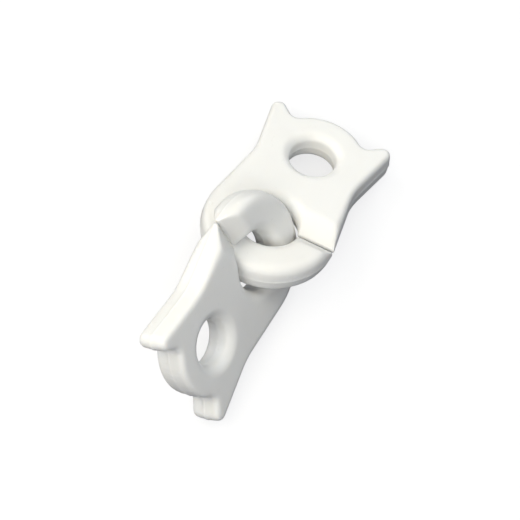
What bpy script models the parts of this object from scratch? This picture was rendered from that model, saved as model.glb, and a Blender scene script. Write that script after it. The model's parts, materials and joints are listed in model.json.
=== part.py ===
"""A linked pair of moulded sister clips, used to join a flag or a halyard to its line.

Both clips are the same moulding: a flat plate with a rope eye between two horns at one end and
a wide round ring at the other. A V-shaped groove in both faces thins the ring down to a narrow
slit, through which one ring is worked into the other. The two rings are linked and the plates
cross each other, as they do when the pair lies on a table.

A clip's own frame has its origin at the ring's centre, X towards the eye, and Z across the
plate. Sizes are in millimetres and are turned into metres where the meshes are made.
"""
import math

import bmesh
import bpy
from mathutils import Euler, Vector

MM = 0.001

# Driving sizes of one clip
THICKNESS = 6.4
RING_RADIUS = 13.4
RING_HOLE_RADIUS = 5.85
EYE_X = 19.3
EYE_RADIUS = 4.75
BULGE_RADIUS = 10.55
WAIST_X = 15.2
WAIST_HALF_WIDTH = 11.0
WAIST_BLEND_RADIUS = 14.0
HORN_X = 27.5
HORN_Y = 11.6
HORN_RADIUS = 1.75
VALLEY_RADIUS = 1.7
VALLEY_ANGLE = math.radians(39.5)

# Rounded edges
PLATE_EDGE_RADIUS = 1.1
RING_EDGE_RADIUS = 2.0
EDGE_BLEND_START = 1.0
EDGE_BLEND_END = 10.0
EDGE_STEPS = 4
MOULD_DRAFT = 0.12
RING_HOLE_EDGE_WIDTH = 1.85
RING_HOLE_EDGE_DEPTH = 2.2
EYE_EDGE_WIDTH = 1.7
EYE_EDGE_DEPTH = 1.25
ROUND_MOUTH_START = 0.0
COUNTERSINK_START = math.radians(40.0)
CUTTER_EDGE_END = math.radians(80.0)
CUTTER_EDGE_STEPS = 6
CUTTER_STEPS = 48

# The V-shaped groove and the slit, in the ring's side at minus Y
SLIT_X = 1.2
SLIT_WIDTH = 0.65
TIP_HALF_THICKNESS = 0.45
GROOVE_RING_SIDE_X = -2.1
GROOVE_PLATE_SIDE_X = 5.7
GROOVE_INNER_Y = -1.5

# How the pair lies: on one of clip A's horns and on clip B's ring and horn
CLIP_A_ROLL = math.radians(-5.32)
CLIP_A_SLOPE = math.radians(12.79)
CLIP_B_LEAN = math.radians(-56.03)
CLIP_B_SLOPE = math.radians(-0.7)
CLIP_B_TURN = math.radians(-177.26)
CLIP_B_OFFSET = (-8.64, 0.16, 1.59)

ARC_STEP = math.radians(7.5)
SMOOTH_ANGLE = math.radians(35.0)
CLEARANCE = 1.0

# White nylon
NYLON_COLOUR = (0.86, 0.86, 0.82, 1.0)
NYLON_ROUGHNESS = 0.42

PARTS = "sister_clips"
CUTTERS = "cutters"


def clear_scene():
    """Removes every object that is already in the file."""
    for existing in list(bpy.data.objects):
        bpy.data.objects.remove(existing, do_unlink=True)


def make_collection(name):
    collection = bpy.data.collections.new(name)
    bpy.context.scene.collection.children.link(collection)
    return collection


def arc(centre, radius, start, end):
    """Points on an arc from the start angle to the end angle, both included."""
    steps = max(2, round(abs(end - start) / ARC_STEP))
    angles = [start + (end - start) * step / steps for step in range(steps + 1)]
    return [(centre[0] + radius * math.cos(a), centre[1] + radius * math.sin(a)) for a in angles]


def tangent_angle(centre, radius, point, side):
    """Angle on a circle at which a line through the point touches it, on the side given."""
    dx = point[0] - centre[0]
    dy = point[1] - centre[1]
    turned = math.atan2(dy, dx) + side * math.acos(radius / math.hypot(dx, dy))
    return turned % (2 * math.pi)


def on_circle(centre, radius, angle):
    return (centre[0] + radius * math.cos(angle), centre[1] + radius * math.sin(angle))


def waist_arc(before, corner, after):
    """A hollow arc that rounds the corner between two straight side lines."""
    to_before = (Vector(before) - Vector(corner)).normalized()
    to_after = (Vector(after) - Vector(corner)).normalized()
    half_angle = to_before.angle(to_after) / 2
    bisector = (to_before + to_after).normalized()
    centre = Vector(corner) + bisector * (WAIST_BLEND_RADIUS / math.sin(half_angle))
    reach = WAIST_BLEND_RADIUS / math.tan(half_angle)
    first = Vector(corner) + to_before * reach - centre
    last = Vector(corner) + to_after * reach - centre
    start = math.atan2(first.y, first.x)
    end = math.atan2(last.y, last.x)
    return arc(centre, WAIST_BLEND_RADIUS, start, end)


def half_outline():
    """The edge at plus Y, from the far side of the ring to the middle of the eye's end."""
    ring = (0.0, 0.0)
    waist = (WAIST_X, WAIST_HALF_WIDTH)
    horn = (HORN_X, HORN_Y)
    eye = (EYE_X, 0.0)
    valley = on_circle(eye, BULGE_RADIUS + VALLEY_RADIUS, VALLEY_ANGLE)
    ring_end = tangent_angle(ring, RING_RADIUS, waist, 1)
    horn_start = tangent_angle(horn, HORN_RADIUS, waist, -1)
    flank = Vector(horn) - Vector(valley)
    lean = math.acos((HORN_RADIUS + VALLEY_RADIUS) / flank.length)
    horn_end = math.atan2(-flank.y, -flank.x) + lean
    points = arc(ring, RING_RADIUS, math.pi, ring_end)
    points += waist_arc(points[-1], waist, on_circle(horn, HORN_RADIUS, horn_start))
    points += arc(horn, HORN_RADIUS, horn_start, horn_end)
    points += arc(valley, VALLEY_RADIUS, horn_end + math.pi, VALLEY_ANGLE + math.pi)
    points += arc(eye, BULGE_RADIUS, VALLEY_ANGLE, 0.0)[1:]
    return points


def full_outline():
    upper = half_outline()
    lower = [(x, -y) for x, y in reversed(upper[1:-1])]
    return upper + lower


def edge_radius(x):
    """The face edges are rounder on the ring than on the rest of the plate."""
    share = min(1.0, max(0.0, (x - EDGE_BLEND_START) / (EDGE_BLEND_END - EDGE_BLEND_START)))
    smooth = share * share * (3 - 2 * share)
    return RING_EDGE_RADIUS + (PLATE_EDGE_RADIUS - RING_EDGE_RADIUS) * smooth


def inward_normals(outline):
    """Unit normals that point into the plate; the outline runs clockwise seen from above."""
    normals = []
    for index, point in enumerate(outline):
        before = Vector(outline[index - 1])
        after = Vector(outline[(index + 1) % len(outline)])
        along = (after - before).normalized()
        normals.append(Vector((along.y, -along.x)))
    return normals


def section_levels():
    """Edge angles from the lower face to the upper face; None is the mould's parting plane."""
    angles = [math.pi / 2 * (1 - step / EDGE_STEPS) for step in range(EDGE_STEPS + 1)]
    lower = [(-1, angle) for angle in angles]
    upper = [(1, angle) for angle in reversed(angles)]
    return lower + [None] + upper


def level_point(point, normal, level):
    """Where one outline point lies at one level of the rounded, drafted side."""
    if level is None:
        outer = Vector(point)
        return (outer.x, outer.y, 0.0)
    side, angle = level
    radius = edge_radius(point[0])
    inset = MOULD_DRAFT + radius * (1 - math.cos(angle))
    height = side * (THICKNESS / 2 - radius * (1 - math.sin(angle)))
    moved = Vector(point) + normal * inset
    return (moved.x, moved.y, height)


def make_plate(collection):
    """The solid blank: the outline lofted through its rounded and drafted levels."""
    outline = full_outline()
    normals = inward_normals(outline)
    mesh = bmesh.new()
    loops = []
    for level in section_levels():
        places = [level_point(p, n, level) for p, n in zip(outline, normals)]
        loops.append([mesh.verts.new(Vector(place) * MM) for place in places])
    count = len(outline)
    for lower, upper in zip(loops, loops[1:]):
        for index in range(count):
            following = (index + 1) % count
            mesh.faces.new((lower[index], lower[following], upper[following], upper[index]))
    mesh.faces.new(loops[0])
    mesh.faces.new(loops[-1])
    bmesh.ops.recalc_face_normals(mesh, faces=mesh.faces)
    return add_object("clip_blank", mesh, collection)


def add_object(name, mesh, collection):
    data = bpy.data.meshes.new(name)
    mesh.to_mesh(data)
    mesh.free()
    made = bpy.data.objects.new(name, data)
    collection.objects.link(made)
    return made


def hole_profile(radius, edge_width, edge_depth, start):
    """Half profile of a hole cutter with flared mouths, from the top down its outer side.

    The flare is part of an oval. A start of 0 makes it leave the wall without a corner, and a
    larger start makes it a shallow countersink with a crisp inner edge.
    """
    half = THICKNESS / 2
    turn = CUTTER_EDGE_END - start
    width_unit = edge_width / (math.cos(start) - math.cos(CUTTER_EDGE_END))
    depth_unit = edge_depth / (math.sin(CUTTER_EDGE_END) - math.sin(start))
    flare = []
    for step in range(CUTTER_EDGE_STEPS, -1, -1):
        angle = start + turn * step / CUTTER_EDGE_STEPS
        spread = radius + width_unit * (math.cos(start) - math.cos(angle))
        flare.append((spread, half - edge_depth + depth_unit * (math.sin(angle) - math.sin(start))))
    mouth = flare[0][0] + CLEARANCE
    upper = [(0.0, half + CLEARANCE), (mouth, half + CLEARANCE)] + flare
    middle = [(radius - MOULD_DRAFT, 0.0)]
    lower = [(r, -z) for r, z in reversed(upper)]
    return upper + middle + lower


def make_hole_cutter(name, x, profile, collection):
    """A turned cutter: the profile with a Screw modifier round the hole's axis."""
    mesh = bmesh.new()
    verts = [mesh.verts.new((r * MM, 0.0, z * MM)) for r, z in profile]
    for first, second in zip(verts, verts[1:]):
        mesh.edges.new((first, second))
    cutter = add_object(name, mesh, collection)
    cutter.location = (x * MM, 0.0, 0.0)
    screw = cutter.modifiers.new("turn", "SCREW")
    screw.axis = "Z"
    screw.angle = 2 * math.pi
    screw.steps = CUTTER_STEPS
    screw.render_steps = CUTTER_STEPS
    screw.use_merge_vertices = True
    screw.merge_threshold = 0.00001
    hide_cutter(cutter)
    return cutter


def hide_cutter(cutter):
    cutter.hide_render = True
    cutter.display_type = "WIRE"


def groove_outline():
    """Outline in X and Z of both V grooves with the slit between them."""
    top = THICKNESS / 2 + CLEARANCE
    rise = THICKNESS / 2 - TIP_HALF_THICKNESS
    ring_edge = SLIT_X - SLIT_WIDTH / 2
    plate_edge = SLIT_X + SLIT_WIDTH / 2
    stretch = (top - TIP_HALF_THICKNESS) / rise
    ring_top = ring_edge + (GROOVE_RING_SIDE_X - ring_edge) * stretch
    plate_top = plate_edge + (GROOVE_PLATE_SIDE_X - plate_edge) * stretch
    upper = [(ring_edge, TIP_HALF_THICKNESS), (ring_top, top), (plate_top, top)]
    upper.append((plate_edge, TIP_HALF_THICKNESS))
    lower = [(x, -z) for x, z in reversed(upper)]
    return upper + lower


def make_groove_cutter(collection):
    """One straight prism that opens the ring at its minus Y side."""
    mesh = bmesh.new()
    outer_y = -(RING_RADIUS + CLEARANCE)
    places = [Vector((x, outer_y, z)) * MM for x, z in groove_outline()]
    face = mesh.faces.new([mesh.verts.new(place) for place in places])
    extruded = bmesh.ops.extrude_face_region(mesh, geom=[face])
    moved = [item for item in extruded["geom"] if isinstance(item, bmesh.types.BMVert)]
    bmesh.ops.translate(mesh, verts=moved, vec=(0.0, (GROOVE_INNER_Y - outer_y) * MM, 0.0))
    bmesh.ops.recalc_face_normals(mesh, faces=mesh.faces)
    cutter = add_object("groove_cutter", mesh, collection)
    hide_cutter(cutter)
    return cutter


def cut(blank, cutter):
    boolean = blank.modifiers.new(cutter.name, "BOOLEAN")
    boolean.operation = "DIFFERENCE"
    boolean.solver = "EXACT"
    boolean.object = cutter


def make_clip_mesh(cutters):
    """The finished clip as one mesh, which both clips copy."""
    blank = make_plate(cutters)
    ring_profile = hole_profile(
        RING_HOLE_RADIUS, RING_HOLE_EDGE_WIDTH, RING_HOLE_EDGE_DEPTH, ROUND_MOUTH_START
    )
    eye_profile = hole_profile(EYE_RADIUS, EYE_EDGE_WIDTH, EYE_EDGE_DEPTH, COUNTERSINK_START)
    cut(blank, make_hole_cutter("ring_hole_cutter", 0.0, ring_profile, cutters))
    cut(blank, make_hole_cutter("eye_cutter", EYE_X, eye_profile, cutters))
    cut(blank, make_groove_cutter(cutters))
    evaluated = blank.evaluated_get(bpy.context.evaluated_depsgraph_get())
    finished = bpy.data.meshes.new_from_object(evaluated)
    finished.name = "sister_clip"
    bpy.data.objects.remove(blank, do_unlink=True)
    finished.shade_smooth()
    finished.set_sharp_from_angle(angle=SMOOTH_ANGLE)
    return finished


def nylon(name):
    material = bpy.data.materials.new(name)
    material.use_nodes = True
    shader = material.node_tree.nodes["Principled BSDF"]
    shader.inputs["Base Color"].default_value = NYLON_COLOUR
    shader.inputs["Roughness"].default_value = NYLON_ROUGHNESS
    shader.inputs["Metallic"].default_value = 0.0
    return material


def place_clip(name, mesh, location, rotation, collection):
    """One clip with a mesh and material of its own and its origin at its ring's centre."""
    clip = bpy.data.objects.new(name, mesh.copy())
    clip.data.materials.append(nylon(name + "_nylon"))
    clip.location = Vector(location) * MM
    clip.rotation_euler = rotation
    collection.objects.link(clip)
    return clip


def stand_at_origin(clips):
    """Moves the pair so that its box stands on the floor with its middle over the origin."""
    bpy.context.view_layer.update()
    points = [clip.matrix_world @ vertex.co for clip in clips for vertex in clip.data.vertices]
    low = [min(point[axis] for point in points) for axis in range(3)]
    high = [max(point[axis] for point in points) for axis in range(3)]
    shift = Vector(((low[0] + high[0]) / 2, (low[1] + high[1]) / 2, low[2]))
    for clip in clips:
        clip.location -= shift
    bpy.context.view_layer.update()


def main():
    clear_scene()
    parts = make_collection(PARTS)
    cutters = make_collection(CUTTERS)
    mesh = make_clip_mesh(cutters)
    rotation_a = Euler((CLIP_A_ROLL, CLIP_A_SLOPE, 0.0))
    rotation_b = Euler((CLIP_B_LEAN, CLIP_B_SLOPE, CLIP_B_TURN))
    clip_a = place_clip("clip_a", mesh, (0.0, 0.0, 0.0), rotation_a, parts)
    clip_b = place_clip("clip_b", mesh, CLIP_B_OFFSET, rotation_b, parts)
    stand_at_origin([clip_a, clip_b])


main()
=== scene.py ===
"""Looks for the linked pair of moulded sister clips: nylon, floor, light and camera."""
import json
import math

import bmesh
import bpy
import numpy as np
from mathutils import Euler, Matrix, Vector


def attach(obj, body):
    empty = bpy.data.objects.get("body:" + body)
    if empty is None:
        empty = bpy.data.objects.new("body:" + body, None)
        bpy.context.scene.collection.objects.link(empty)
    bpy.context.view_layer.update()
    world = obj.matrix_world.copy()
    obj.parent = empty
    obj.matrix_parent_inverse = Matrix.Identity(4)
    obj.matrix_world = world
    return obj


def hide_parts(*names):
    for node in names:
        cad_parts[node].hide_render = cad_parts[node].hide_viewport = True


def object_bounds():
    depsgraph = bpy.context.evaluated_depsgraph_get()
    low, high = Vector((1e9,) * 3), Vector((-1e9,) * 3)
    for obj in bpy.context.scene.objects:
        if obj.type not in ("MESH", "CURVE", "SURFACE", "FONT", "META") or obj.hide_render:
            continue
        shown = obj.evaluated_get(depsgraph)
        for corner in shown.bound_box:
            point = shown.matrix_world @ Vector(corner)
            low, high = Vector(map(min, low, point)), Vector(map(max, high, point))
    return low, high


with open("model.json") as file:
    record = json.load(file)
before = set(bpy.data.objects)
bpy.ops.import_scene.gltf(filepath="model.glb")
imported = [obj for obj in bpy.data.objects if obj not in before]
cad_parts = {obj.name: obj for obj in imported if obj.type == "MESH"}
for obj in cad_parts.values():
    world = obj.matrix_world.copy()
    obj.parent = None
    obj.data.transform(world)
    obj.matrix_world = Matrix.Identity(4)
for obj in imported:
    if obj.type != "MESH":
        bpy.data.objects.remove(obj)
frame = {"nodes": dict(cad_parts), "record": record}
cad_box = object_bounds()

MM = 0.001

# The camera looks down on the pair from a steep angle
CAMERA_PLACE = Vector((-0.17482, -0.04891, 0.38614))
CAMERA_FORWARD = Vector((0.41459, 0.11336, -0.90292))
CAMERA_RIGHT = Vector((0.47664, -0.87227, 0.10934))
CAMERA_LENS = 149.68
SENSOR_WIDTH = 36.0
NEAREST_SEEN = 0.01
FARTHEST_SEEN = 10.0

WHITE = (1.0, 1.0, 1.0, 1.0)

# Soft lights round the pair: azimuth and elevation in degrees, power in watts, and colour
LIGHT_REACH = 0.45
LIGHT_SIZE = 0.25
WARM_TINT = (1.0, 0.95, 0.82)
PLAIN_TINT = (1.0, 0.98, 0.94)
COOL_TINT = (0.88, 0.93, 1.0)
LIGHTS = (
    (0, 20, 0.5, COOL_TINT),
    (90, 20, 0.7, COOL_TINT),
    (180, 20, 0.3, COOL_TINT),
    (0, 50, 0.1, COOL_TINT),
    (90, 50, 0.4, WARM_TINT),
    (135, 50, 0.6, WARM_TINT),
    (180, 50, 0.7, PLAIN_TINT),
    (225, 50, 0.4, COOL_TINT),
    (315, 50, 0.4, COOL_TINT),
    (0, 80, 0.3, WARM_TINT),
)
WORLD_STRENGTH = 0.02

# The floor as the camera sees it, and the darker colour that it bounces onto the pair
FLOOR_HALF_SIZE = 0.6
FLOOR_COLOUR = (0.25, 0.25, 0.252, 1.0)
FLOOR_BOUNCE_COLOUR = (0.12, 0.12, 0.14, 1.0)
FLOOR_GLOW = 0.735
FLOOR_ROUGHNESS = 0.8

# How each clip lies, and where clip B's ring is from clip A's
CLIP_A_TURN = Euler((math.radians(-5.32), math.radians(12.79), 0.0))
CLIP_B_TURN = Euler((math.radians(-56.03), math.radians(-0.7), math.radians(-177.26)))
CLIP_B_OFFSET = Vector((-8.64, 0.16, 1.59)) * MM

# Rounding of the moulding
VOXEL = 0.2 * MM
SMOOTH_FACTOR = 0.5
SOFTEN_STEPS = 12
GROOVE_STEPS = 60

# The V groove and the slit at its bottom, in millimetres in a clip's own frame
GROOVE_MIDDLE_X = 1.8
GROOVE_MIDDLE_REACH = 6.5
GROOVE_END_Y = 0.5
GROOVE_FADE = 1.5
SLIT_X = 1.2

# How far from the slit the rounding starts and over what length it grows, for the groove
# and for all edges, and how much of it is left at the slit's lips
GROOVE_CLEAR = 1.0
GROOVE_CLEAR_FADE = 1.2
LIP_CLEAR = 0.8
LIP_CLEAR_FADE = 0.8
LIP_SOFTNESS = 0.25

# The mould's parting line, which fades where a normal leans out of the plate's plane
FLASH_HEIGHT = 0.12 * MM
FLASH_HALF_WIDTH = 0.16 * MM
FLASH_LEAN_LIMIT = 0.5

# White nylon, a little warm
NYLON_LIGHT = (0.812, 0.808, 0.780, 1.0)
NYLON_DARK = (0.80, 0.795, 0.768, 1.0)
NYLON_SCUFFED = (0.73, 0.725, 0.69, 1.0)
NYLON_WORN = (0.85, 0.85, 0.83, 1.0)
# Painted shade: a darker, yellower colour put into concave creases in place of the shade that falls
# there
NYLON_PAINTED_CREASE_SHADE = (0.66, 0.65, 0.59, 1.0)
NYLON_IOR = 1.53
NYLON_SCATTER = 0.25
NYLON_SCATTER_RADIUS = (1.0, 0.9, 0.75)
NYLON_SCATTER_SCALE = 1.2 * MM

# Noise in the nylon: cells per millimetre and detail
OWN_PLACE = "own_place"
NOISE_ROUGHNESS = 0.55
MOTTLE_NOISE = (0.16, 3.0)
SCUFF_NOISE = (0.55, 4.0)
SCUFF_STRETCH = (1.0, 2.6, 1.0)
GRAIN_NOISE = (5.0, 2.0)
GLOSS_NOISE = (0.9, 3.0)
WAVE_NOISE = (0.22, 1.0)

# What part of a noise or of the pointiness is used, and what it becomes
MOTTLE_RANGE = (0.35, 0.65)
MOTTLE_AMOUNT = (0.0, 1.0)
SCUFF_RANGE = (0.66, 0.74)
SCUFF_AMOUNT = (0.0, 0.5)
WORN_RANGE = (0.51, 0.56)
WORN_AMOUNT = (0.0, 0.6)
# Pointiness span and strength of the painted shade in the creases
PAINTED_CREASE_SHADE_RANGE = (0.44, 0.49)
PAINTED_CREASE_SHADE_AMOUNT = (0.35, 0.0)
GLOSS_RANGE = (0.3, 0.7)
GLOSS_ROUGHNESS = (0.40, 0.52)

# Bumps: distance and strength
WAVE_BUMP = (0.06 * MM, 0.6)
SCUFF_BUMP = (0.02 * MM, 0.5)
GRAIN_BUMP = (0.010 * MM, 0.5)

# Each clip's nylon is moved in its noise by its own number of millimetres
CLIP_A_SHIFT = (0.0, 0.0, 0.0)
CLIP_B_SHIFT = (40.0, 28.0, 0.0)


def make_camera():
    """The camera, with its right side made square to the way that it looks."""
    data = bpy.data.cameras.new("camera")
    camera = bpy.data.objects.new("camera", data)
    bpy.context.scene.collection.objects.link(camera)
    back = -CAMERA_FORWARD.normalized()
    right = (CAMERA_RIGHT - back * CAMERA_RIGHT.dot(back)).normalized()
    up = back.cross(right)
    turn = Matrix((right, up, back)).transposed()
    camera.matrix_world = Matrix.Translation(CAMERA_PLACE) @ turn.to_4x4()
    data.lens = CAMERA_LENS
    data.sensor_width = SENSOR_WIDTH
    data.clip_start = NEAREST_SEEN
    data.clip_end = FARTHEST_SEEN
    bpy.context.scene.camera = camera


def make_light(azimuth, elevation, power, colour):
    """A round soft light that points at the pair from a distance of LIGHT_REACH."""
    flat = math.cos(math.radians(elevation))
    way = Vector((
        flat * math.cos(math.radians(azimuth)),
        flat * math.sin(math.radians(azimuth)),
        math.sin(math.radians(elevation)),
    ))
    name = "light_%d_%d" % (azimuth, elevation)
    data = bpy.data.lights.new(name, "AREA")
    data.shape = "DISK"
    data.size = LIGHT_SIZE
    data.energy = power
    data.color = colour
    light = bpy.data.objects.new(name, data)
    light.location = way * LIGHT_REACH
    light.rotation_euler = (-way).to_track_quat("-Z", "Y").to_euler()
    bpy.context.scene.collection.objects.link(light)


def make_world():
    """A very dim white world, so that no shadow is quite black."""
    world = bpy.data.worlds.new("studio")
    world.use_nodes = True
    background = world.node_tree.nodes["Background"]
    background.inputs["Color"].default_value = WHITE
    background.inputs["Strength"].default_value = WORLD_STRENGTH
    bpy.context.scene.world = world


def floor_material():
    """The camera sees the floor glow to white, and it bounces little light upwards."""
    material = bpy.data.materials.new("white_floor")
    material.use_nodes = True
    tree = material.node_tree
    shader = tree.nodes["Principled BSDF"]
    shader.inputs["Base Color"].default_value = FLOOR_COLOUR
    shader.inputs["Roughness"].default_value = FLOOR_ROUGHNESS
    bounce = tree.nodes.new("ShaderNodeBsdfDiffuse")
    bounce.inputs["Color"].default_value = FLOOR_BOUNCE_COLOUR
    glow = tree.nodes.new("ShaderNodeEmission")
    glow.inputs["Color"].default_value = WHITE
    glow.inputs["Strength"].default_value = FLOOR_GLOW
    both = tree.nodes.new("ShaderNodeAddShader")
    tree.links.new(shader.outputs[0], both.inputs[0])
    tree.links.new(glow.outputs[0], both.inputs[1])
    seen = tree.nodes.new("ShaderNodeLightPath")
    pick = tree.nodes.new("ShaderNodeMixShader")
    tree.links.new(seen.outputs["Is Camera Ray"], pick.inputs[0])
    tree.links.new(bounce.outputs[0], pick.inputs[1])
    tree.links.new(both.outputs[0], pick.inputs[2])
    tree.links.new(pick.outputs[0], tree.nodes["Material Output"].inputs["Surface"])
    return material


def make_floor():
    """A flat square under the pair."""
    mesh = bmesh.new()
    bmesh.ops.create_grid(mesh, x_segments=1, y_segments=1, size=FLOOR_HALF_SIZE)
    data = bpy.data.meshes.new("floor")
    mesh.to_mesh(data)
    mesh.free()
    floor = bpy.data.objects.new("floor", data)
    bpy.context.scene.collection.objects.link(floor)
    floor.data.materials.append(floor_material())


def add_node(tree, kind, **values):
    """A node with its named inputs set."""
    node = tree.nodes.new(kind)
    for name, value in values.items():
        node.inputs[name.replace("_", " ")].default_value = value
    return node


def noise(tree, place, cells, stretch=(1.0, 1.0, 1.0)):
    """Noise over the clip's own frame, from its cells per millimetre and its detail."""
    mapping = add_node(tree, "ShaderNodeMapping", Scale=stretch)
    tree.links.new(place, mapping.inputs["Vector"])
    scale, detail = cells
    node = add_node(tree, "ShaderNodeTexNoise", Scale=scale, Detail=detail, Roughness=NOISE_ROUGHNESS)
    tree.links.new(mapping.outputs["Vector"], node.inputs["Vector"])
    return node.outputs["Fac"]


def remap(tree, value, span, result):
    """Turns a span of values smoothly into another; past its ends the result stays level."""
    node = tree.nodes.new("ShaderNodeMapRange")
    node.interpolation_type = "SMOOTHSTEP"
    tree.links.new(value, node.inputs["Value"])
    node.inputs["From Min"].default_value = span[0]
    node.inputs["From Max"].default_value = span[1]
    node.inputs["To Min"].default_value = result[0]
    node.inputs["To Max"].default_value = result[1]
    return node.outputs["Result"]


def tint(tree, factor, first, second):
    """A colour between the first and the second; the first may be a colour or another node's."""
    node = tree.nodes.new("ShaderNodeMix")
    node.data_type = "RGBA"
    tree.links.new(factor, node.inputs["Factor"])
    if isinstance(first, bpy.types.NodeSocket):
        tree.links.new(first, node.inputs["A"])
    else:
        node.inputs["A"].default_value = first
    node.inputs["B"].default_value = second
    return node.outputs["Result"]


def bump(tree, height, size, before=None):
    """A bump of a distance and a strength, on top of the one before it."""
    distance, strength = size
    node = add_node(tree, "ShaderNodeBump", Distance=distance, Strength=strength)
    tree.links.new(height, node.inputs["Height"])
    if before is not None:
        tree.links.new(before, node.inputs["Normal"])
    return node.outputs["Normal"]


def shifted_place(tree, shift):
    """The place in the clip's own frame, moved by the clip's shift."""
    source = tree.nodes.new("ShaderNodeAttribute")
    source.attribute_name = OWN_PLACE
    shifted = add_node(tree, "ShaderNodeMapping", Location=shift)
    tree.links.new(source.outputs["Vector"], shifted.inputs["Vector"])
    return shifted.outputs["Vector"]


def nylon_colour(tree, place, scuff):
    """Mottled white with faint scuffs and rubbed edges, and painted shade that darkens the creases.
    """
    mottle = remap(tree, noise(tree, place, MOTTLE_NOISE), MOTTLE_RANGE, MOTTLE_AMOUNT)
    colour = tint(tree, mottle, NYLON_LIGHT, NYLON_DARK)
    colour = tint(tree, scuff, colour, NYLON_SCUFFED)
    geometry = tree.nodes.new("ShaderNodeNewGeometry")
    worn = remap(tree, geometry.outputs["Pointiness"], WORN_RANGE, WORN_AMOUNT)
    colour = tint(tree, worn, colour, NYLON_WORN)
    # Painted shade: concave creases are darkened in the colour, in place of the shade that falls
    # there
    painted_crease_shade = remap(tree, geometry.outputs["Pointiness"], PAINTED_CREASE_SHADE_RANGE, PAINTED_CREASE_SHADE_AMOUNT)
    return tint(tree, painted_crease_shade, colour, NYLON_PAINTED_CREASE_SHADE)


def nylon_normal(tree, place, scuff):
    """Long shallow waves, the scuffs' faint depth and a fine moulded grain."""
    normal = bump(tree, noise(tree, place, WAVE_NOISE), WAVE_BUMP)
    normal = bump(tree, scuff, SCUFF_BUMP, normal)
    return bump(tree, noise(tree, place, GRAIN_NOISE), GRAIN_BUMP, normal)


def nylon(name, shift):
    """White moulded nylon."""
    material = bpy.data.materials.new(name)
    material.use_nodes = True
    tree = material.node_tree
    shader = tree.nodes["Principled BSDF"]
    place = shifted_place(tree, shift)
    scuff = remap(tree, noise(tree, place, SCUFF_NOISE, SCUFF_STRETCH), SCUFF_RANGE, SCUFF_AMOUNT)
    gloss = remap(tree, noise(tree, place, GLOSS_NOISE), GLOSS_RANGE, GLOSS_ROUGHNESS)
    tree.links.new(nylon_colour(tree, place, scuff), shader.inputs["Base Color"])
    tree.links.new(gloss, shader.inputs["Roughness"])
    tree.links.new(nylon_normal(tree, place, scuff), shader.inputs["Normal"])
    shader.inputs["Subsurface Weight"].default_value = NYLON_SCATTER
    shader.inputs["Subsurface Radius"].default_value = NYLON_SCATTER_RADIUS
    shader.inputs["Subsurface Scale"].default_value = NYLON_SCATTER_SCALE
    shader.inputs["IOR"].default_value = NYLON_IOR
    return material


def clip_frames():
    """Where each clip's own frame is: the ring's centre, X to the eye, Z across the plate."""
    joint = frame["record"]["behaviour"]["joints"][0]
    ring_b = Vector(joint["pos_m"])
    ring_a = ring_b - CLIP_B_OFFSET
    frame_a = Matrix.Translation(ring_a) @ CLIP_A_TURN.to_matrix().to_4x4()
    frame_b = Matrix.Translation(ring_b) @ CLIP_B_TURN.to_matrix().to_4x4()
    return frame_a, frame_b


def off_slit(places, clear, fade):
    """0 at the slit, and 1 from the clear distance plus the fade outwards."""
    distance = np.abs(places[:, 0] / MM - SLIT_X)
    far_side = np.clip(places[:, 1] / MM - GROOVE_END_Y, 0.0, 1.0)
    return np.maximum(np.clip((distance - clear) / fade, 0.0, 1.0), far_side)


def groove_weights(places):
    """Where the groove's slopes and their edges are, apart from the slit itself."""
    across = GROOVE_MIDDLE_REACH - np.abs(places[:, 0] / MM - GROOVE_MIDDLE_X)
    along = GROOVE_END_Y - places[:, 1] / MM
    inside = np.clip(across / GROOVE_FADE, 0.0, 1.0) * np.clip(along / GROOVE_FADE, 0.0, 1.0)
    return inside * off_slit(places, GROOVE_CLEAR, GROOVE_CLEAR_FADE)


def edge_weights(places):
    """Everywhere, with the slit's own lips kept crisp."""
    return LIP_SOFTNESS + (1.0 - LIP_SOFTNESS) * off_slit(places, LIP_CLEAR, LIP_CLEAR_FADE)


def read_vectors(items, name):
    """One named vector of every item, as rows of three."""
    flat = np.empty(len(items) * 3)
    items.foreach_get(name, flat)
    return flat.reshape(-1, 3)


def baked(piece):
    """The piece's mesh with its modifiers applied, which then leave the piece."""
    evaluated = piece.evaluated_get(bpy.context.evaluated_depsgraph_get())
    finished = bpy.data.meshes.new_from_object(evaluated)
    piece.modifiers.clear()
    return finished


def smooth_where(piece, name, weights, steps):
    """Adds a smoothing that acts on each point by its weight."""
    group = piece.vertex_groups.new(name=name)
    for index in np.nonzero(weights > 0.0)[0]:
        group.add([int(index)], float(weights[index]), "REPLACE")
    smooth = piece.modifiers.new(name, "SMOOTH")
    smooth.factor = SMOOTH_FACTOR
    smooth.iterations = steps
    smooth.vertex_group = name


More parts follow.
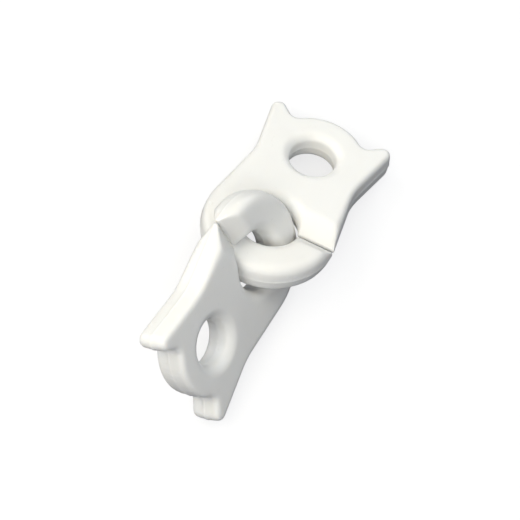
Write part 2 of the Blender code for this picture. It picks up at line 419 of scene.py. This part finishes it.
def soften(piece):
    """Rounds every edge a little, as a mould does, and the groove's edges more."""
    remesh = piece.modifiers.new("even", "REMESH")
    remesh.mode = "VOXEL"
    remesh.voxel_size = VOXEL
    piece.data = baked(piece)
    places = read_vectors(piece.data.vertices, "co")
    smooth_where(piece, "edges", edge_weights(places), SOFTEN_STEPS)
    smooth_where(piece, "groove", groove_weights(places), GROOVE_STEPS)
    piece.data = baked(piece)
    piece.vertex_groups.clear()


def raise_flash(mesh):
    """The thin line that the mould's two halves leave round the middle of every side."""
    places = read_vectors(mesh.vertices, "co")
    normals = read_vectors(mesh.vertices, "normal")
    upright = np.clip(1.0 - np.abs(normals[:, 2]) / FLASH_LEAN_LIMIT, 0.0, 1.0)
    lift = FLASH_HEIGHT * np.exp(-(places[:, 2] / FLASH_HALF_WIDTH) ** 2) * upright
    places += normals * lift[:, None]
    mesh.vertices.foreach_set("co", places.reshape(-1))
    mesh.update()


def keep_own_places(mesh):
    """Stores each point's place in the clip's own frame, in millimetres, for the material."""
    places = read_vectors(mesh.vertices, "co")
    stored = mesh.attributes.new(OWN_PLACE, "FLOAT_VECTOR", "POINT")
    stored.data.foreach_set("vector", places.reshape(-1) / MM)


def stay_in_box(mesh):
    """Holds the fine shape inside the CAD model's box."""
    places = read_vectors(mesh.vertices, "co")
    places = np.clip(places, np.array(cad_box[0]), np.array(cad_box[1]))
    mesh.vertices.foreach_set("co", places.reshape(-1))
    mesh.update()


def make_moulding(name, node_name, body, place, shift):
    """A finely rounded copy of one clip in its own frame, in place of the CAD node."""
    data = frame["nodes"][node_name].data.copy()
    data.transform(place.inverted())
    data.materials.clear()
    piece = bpy.data.objects.new(name, data)
    bpy.context.scene.collection.objects.link(piece)
    soften(piece)
    raise_flash(piece.data)
    keep_own_places(piece.data)
    piece.data.transform(place)
    stay_in_box(piece.data)
    piece.data.name = name
    piece.data.materials.clear()
    piece.data.materials.append(nylon(name + "_nylon", shift))
    piece.data.shade_smooth()
    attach(piece, body)
    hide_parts(node_name)


def main():
    make_camera()
    make_world()
    make_floor()
    for light in LIGHTS:
        make_light(*light)
    bpy.context.scene.view_settings.view_transform = "Standard"
    frame_a, frame_b = clip_frames()
    make_moulding("clip_a_moulding", "clip_a", "first_clip", frame_a, CLIP_A_SHIFT)
    make_moulding("clip_b_moulding", "clip_b", "second_clip", frame_b, CLIP_B_SHIFT)


main()
